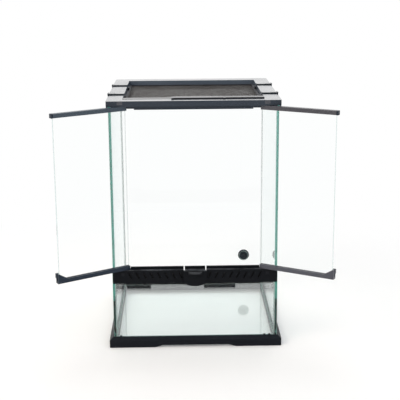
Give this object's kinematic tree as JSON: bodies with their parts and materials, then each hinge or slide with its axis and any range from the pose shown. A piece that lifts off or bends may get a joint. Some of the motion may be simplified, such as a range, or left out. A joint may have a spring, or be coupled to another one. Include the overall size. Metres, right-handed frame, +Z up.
{
  "type": "reptile terrarium",
  "caption": "Upright front-opening glass terrarium with pivoting glass doors, a vent strip with a sliding lock, a lift-off screen cover and a plugged cable hole.",
  "frame": {"origin": "middle of the base's footprint, on the plane that the base stands on", "axes": "+X to the right seen from the door side, +Y from the doors to the back pane, +Z up"},
  "size_m": [0.4898, 0.387, 0.4581],
  "materials": {
    "clear_glass": "polished float glass",
    "black_plastic": "satin moulded black plastic",
    "gloss_frame": "glossy black moulded plastic",
    "rail_plastic": "satin dark grey extruded plastic",
    "hinge_plastic": "mid grey moulded plastic",
    "steel": "turned steel pin",
    "wire_mesh": "fine woven dark wire",
    "silicone": "cured sealant bead",
    "plug_rubber": "smooth black rubber"
  },
  "bodies": {
    "tank": {"base_frame": "black_plastic", "floor_glass": "clear_glass", "left_side_glass": "clear_glass", "right_side_glass": "clear_glass", "back_glass": "clear_glass", "front_lower_glass": "clear_glass", "silicone_seams": "silicone", "vent_strip": "black_plastic", "vent_gauze": "wire_mesh", "top_frame": "gloss_frame", "upper_hinge_bushes": "hinge_plastic", "lower_hinge_bushes": "hinge_plastic", "lock_housing": "black_plastic"},
    "left_door": {"left_door_glass": "clear_glass", "left_top_rail": "rail_plastic", "left_bottom_rail": "rail_plastic", "left_rail_cap": "black_plastic", "left_finger_pull": "black_plastic", "left_hinge_pins": "steel"},
    "right_door": {"right_door_glass": "clear_glass", "right_top_rail": "rail_plastic", "right_bottom_rail": "rail_plastic", "right_rail_cap": "black_plastic", "right_finger_pull": "black_plastic", "right_hinge_pins": "steel"},
    "lock_slider": {"lock_tongue": "black_plastic", "lock_thumb_ledge": "black_plastic"},
    "screen_cover": {"screen_frame": "gloss_frame", "screen_mesh": "wire_mesh", "mesh_retainer": "black_plastic"},
    "left_front_slider": {"left_front_latch": "black_plastic"},
    "left_back_slider": {"left_back_latch": "black_plastic"},
    "right_front_slider": {"right_front_latch": "black_plastic"},
    "right_back_slider": {"right_back_latch": "black_plastic"},
    "plug": {"back_plug": "plug_rubber"}
  },
  "joints": [
    {"name": "left_door_hinge", "type": "hinge", "parent": "tank", "child": "left_door", "pos_m": [-0.1305, -0.155, 0.3], "axis": [0, 0, 1], "range_deg": [-20, 147.3]},
    {"name": "right_door_hinge", "type": "hinge", "parent": "tank", "child": "right_door", "pos_m": [0.1305, -0.155, 0.3], "axis": [0, 0, 1], "range_deg": [-149.5, 20]},
    {"name": "lock_slide", "type": "slide", "parent": "tank", "child": "lock_slider", "axis": [0, 0, 1], "range_m": [0, 0.006]},
    {"name": "screen_lift", "type": "slide", "parent": "tank", "child": "screen_cover", "axis": [0, 0, 1], "range_m": [0, 0.06]},
    {"name": "left_front_latch_slide", "type": "slide", "parent": "tank", "child": "left_front_slider", "axis": [1, 0, 0], "range_m": [0, 0.006]},
    {"name": "left_back_latch_slide", "type": "slide", "parent": "tank", "child": "left_back_slider", "axis": [1, 0, 0], "range_m": [0, 0.006]},
    {"name": "right_front_latch_slide", "type": "slide", "parent": "tank", "child": "right_front_slider", "axis": [-1, 0, 0], "range_m": [0, 0.006]},
    {"name": "right_back_latch_slide", "type": "slide", "parent": "tank", "child": "right_back_slider", "axis": [-1, 0, 0], "range_m": [0, 0.006]},
    {"name": "plug_pull", "type": "slide", "parent": "tank", "child": "plug", "axis": [0, 1, 0], "range_m": [0, 0.03]}
  ]
}
